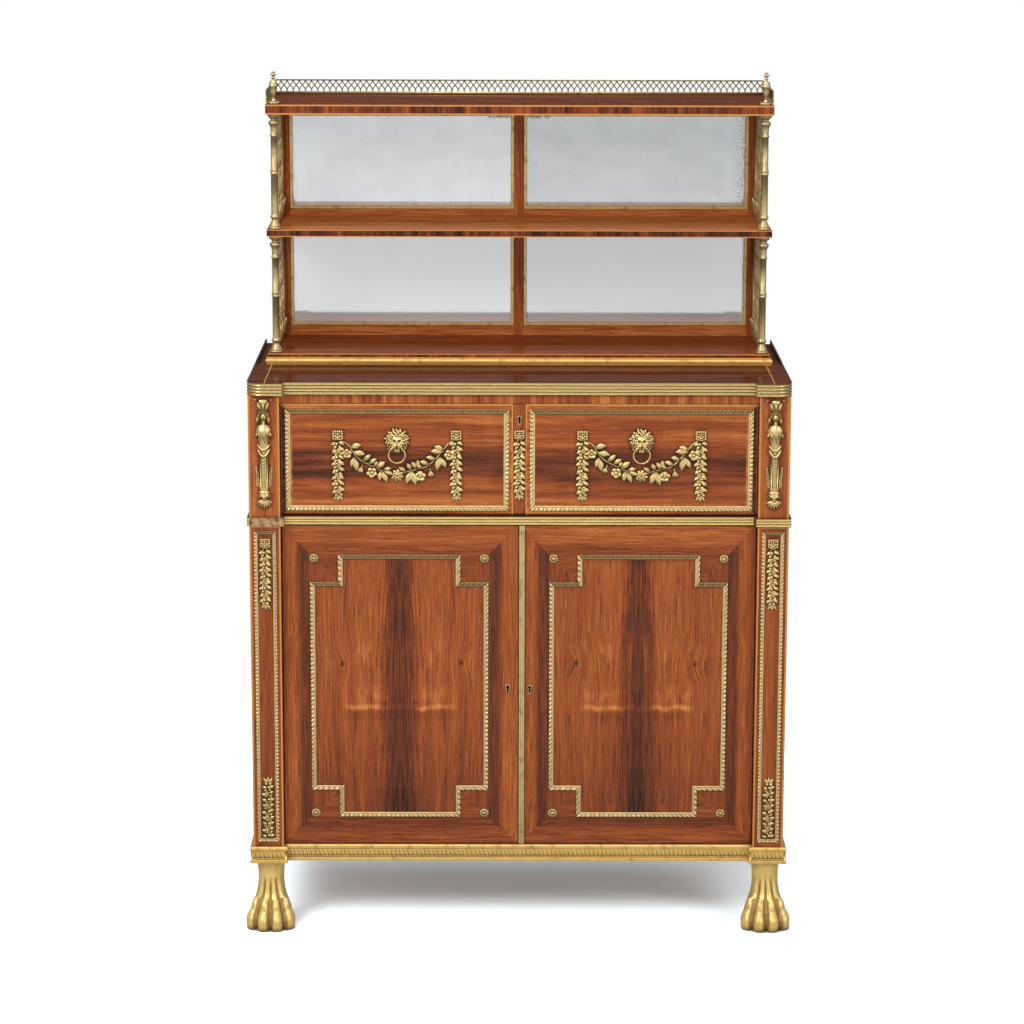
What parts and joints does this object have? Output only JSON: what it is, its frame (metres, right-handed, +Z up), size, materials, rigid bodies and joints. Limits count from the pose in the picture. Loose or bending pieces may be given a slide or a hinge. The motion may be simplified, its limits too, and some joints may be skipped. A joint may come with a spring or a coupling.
{
  "type": "secretaire cabinet",
  "caption": "Regency-style rosewood secretaire cabinet: cupboard with doors, pull-out secretaire with fall front, mirrored shelf stand with pierced gallery, gilt mounts and paw feet.",
  "frame": {"origin": "on the floor under the middle of the cabinet's bounding box", "axes": "+Z up, front towards -Y, +X to the viewer's right"},
  "size_m": [0.929, 0.467, 1.438],
  "materials": {
    "rosewood": "french polish",
    "carcase_wood": "waxed",
    "gilt_bronze": "fire gilt",
    "lacquered_brass": "lacquered",
    "mirror_glass": "foxed silvering",
    "tooled_leather": "gold tooled",
    "lock_steel": "plain"
  },
  "bodies": {
    "cabinet": {"case_sides": "rosewood", "case_back": "carcase_wood", "pilasters": "rosewood", "frieze_rail": "rosewood", "bottom_board": "carcase_wood", "division_board": "carcase_wood", "plinth_frame": "rosewood", "cupboard_shelf": "carcase_wood", "shelf_bearers": "carcase_wood", "top_board": "rosewood", "top_edge_moulding": "lacquered_brass", "plinth_moulding": "gilt_bronze", "mid_moulding": "lacquered_brass", "bare_moulding_core": "carcase_wood", "paw_feet": "gilt_bronze", "rear_feet": "rosewood", "stand_base": "rosewood", "middle_shelf": "rosewood", "top_shelf": "rosewood", "stand_bead": "gilt_bronze", "mirror_frame": "rosewood", "mirror_plates": "mirror_glass", "mirror_beads": "gilt_bronze", "colonettes": "lacquered_brass", "finials": "lacquered_brass", "gallery": "lacquered_brass", "side_grilles": "lacquered_brass", "case_pivot_plates": "lacquered_brass", "drawer_runners": "carcase_wood", "pilaster_frames": "gilt_bronze", "pilaster_drops": "gilt_bronze", "herm_mounts": "gilt_bronze"},
    "left_door": {"left_door_board": "rosewood", "left_door_mounts": "gilt_bronze", "left_door_pivots": "lacquered_brass"},
    "right_door": {"right_door_board": "rosewood", "right_door_mounts": "gilt_bronze", "right_door_lock": "lacquered_brass", "meeting_strip": "lacquered_brass", "right_door_pivots": "lacquered_brass"},
    "secretaire_drawer": {"drawer_cheeks": "carcase_wood", "drawer_bottom": "carcase_wood", "drawer_back": "carcase_wood", "writing_leather": "tooled_leather", "pigeonholes": "carcase_wood", "fall_pivot_plates": "lacquered_brass"},
    "fall_front": {"fall_board": "rosewood", "fall_leather": "tooled_leather", "fall_lock": "lacquered_brass", "fall_pins": "lock_steel", "quadrant_stays": "lacquered_brass", "fall_frames": "gilt_bronze", "fall_swags": "gilt_bronze", "lion_masks": "gilt_bronze"},
    "left_ring": {"left_ring_pull": "gilt_bronze"},
    "right_ring": {"right_ring_pull": "gilt_bronze"},
    "left_lower_drawer": {"left_lower_small_drawer": "carcase_wood"},
    "left_upper_drawer": {"left_upper_small_drawer": "carcase_wood"},
    "right_lower_drawer": {"right_lower_small_drawer": "carcase_wood"},
    "right_upper_drawer": {"right_upper_small_drawer": "carcase_wood"}
  },
  "joints": [
    {"name": "secretaire_drawer_slide", "type": "slide", "parent": "cabinet", "child": "secretaire_drawer", "axis": [0, -1, 0], "range_m": [0, 0.24]},
    {"name": "fall_front_hinge", "type": "hinge", "parent": "secretaire_drawer", "child": "fall_front", "pos_m": [0, -0.1755, 0.7262], "axis": [1, 0, 0], "range_deg": [0, 90]},
    {"name": "left_ring_swing", "type": "hinge", "parent": "fall_front", "child": "left_ring", "pos_m": [-0.2036, -0.1935, 0.83248], "axis": [-1, 0, 0], "range_deg": [-8, 95]},
    {"name": "right_ring_swing", "type": "hinge", "parent": "fall_front", "child": "right_ring", "pos_m": [0.2036, -0.1935, 0.83248], "axis": [-1, 0, 0], "range_deg": [-8, 95]},
    {"name": "left_door_hinge", "type": "hinge", "parent": "cabinet", "child": "left_door", "pos_m": [-0.3887, -0.1805, 0.42125], "axis": [0, 0, -1], "range_deg": [0, 95]},
    {"name": "right_door_hinge", "type": "hinge", "parent": "cabinet", "child": "right_door", "pos_m": [0.3887, -0.1805, 0.42125], "axis": [0, 0, 1], "range_deg": [0, 95]},
    {"name": "left_lower_drawer_slide", "type": "slide", "parent": "secretaire_drawer", "child": "left_lower_drawer", "axis": [0, -1, 0], "range_m": [0, 0.12]},
    {"name": "left_upper_drawer_slide", "type": "slide", "parent": "secretaire_drawer", "child": "left_upper_drawer", "axis": [0, -1, 0], "range_m": [0, 0.12]},
    {"name": "right_lower_drawer_slide", "type": "slide", "parent": "secretaire_drawer", "child": "right_lower_drawer", "axis": [0, -1, 0], "range_m": [0, 0.12]},
    {"name": "right_upper_drawer_slide", "type": "slide", "parent": "secretaire_drawer", "child": "right_upper_drawer", "axis": [0, -1, 0], "range_m": [0, 0.12]}
  ]
}
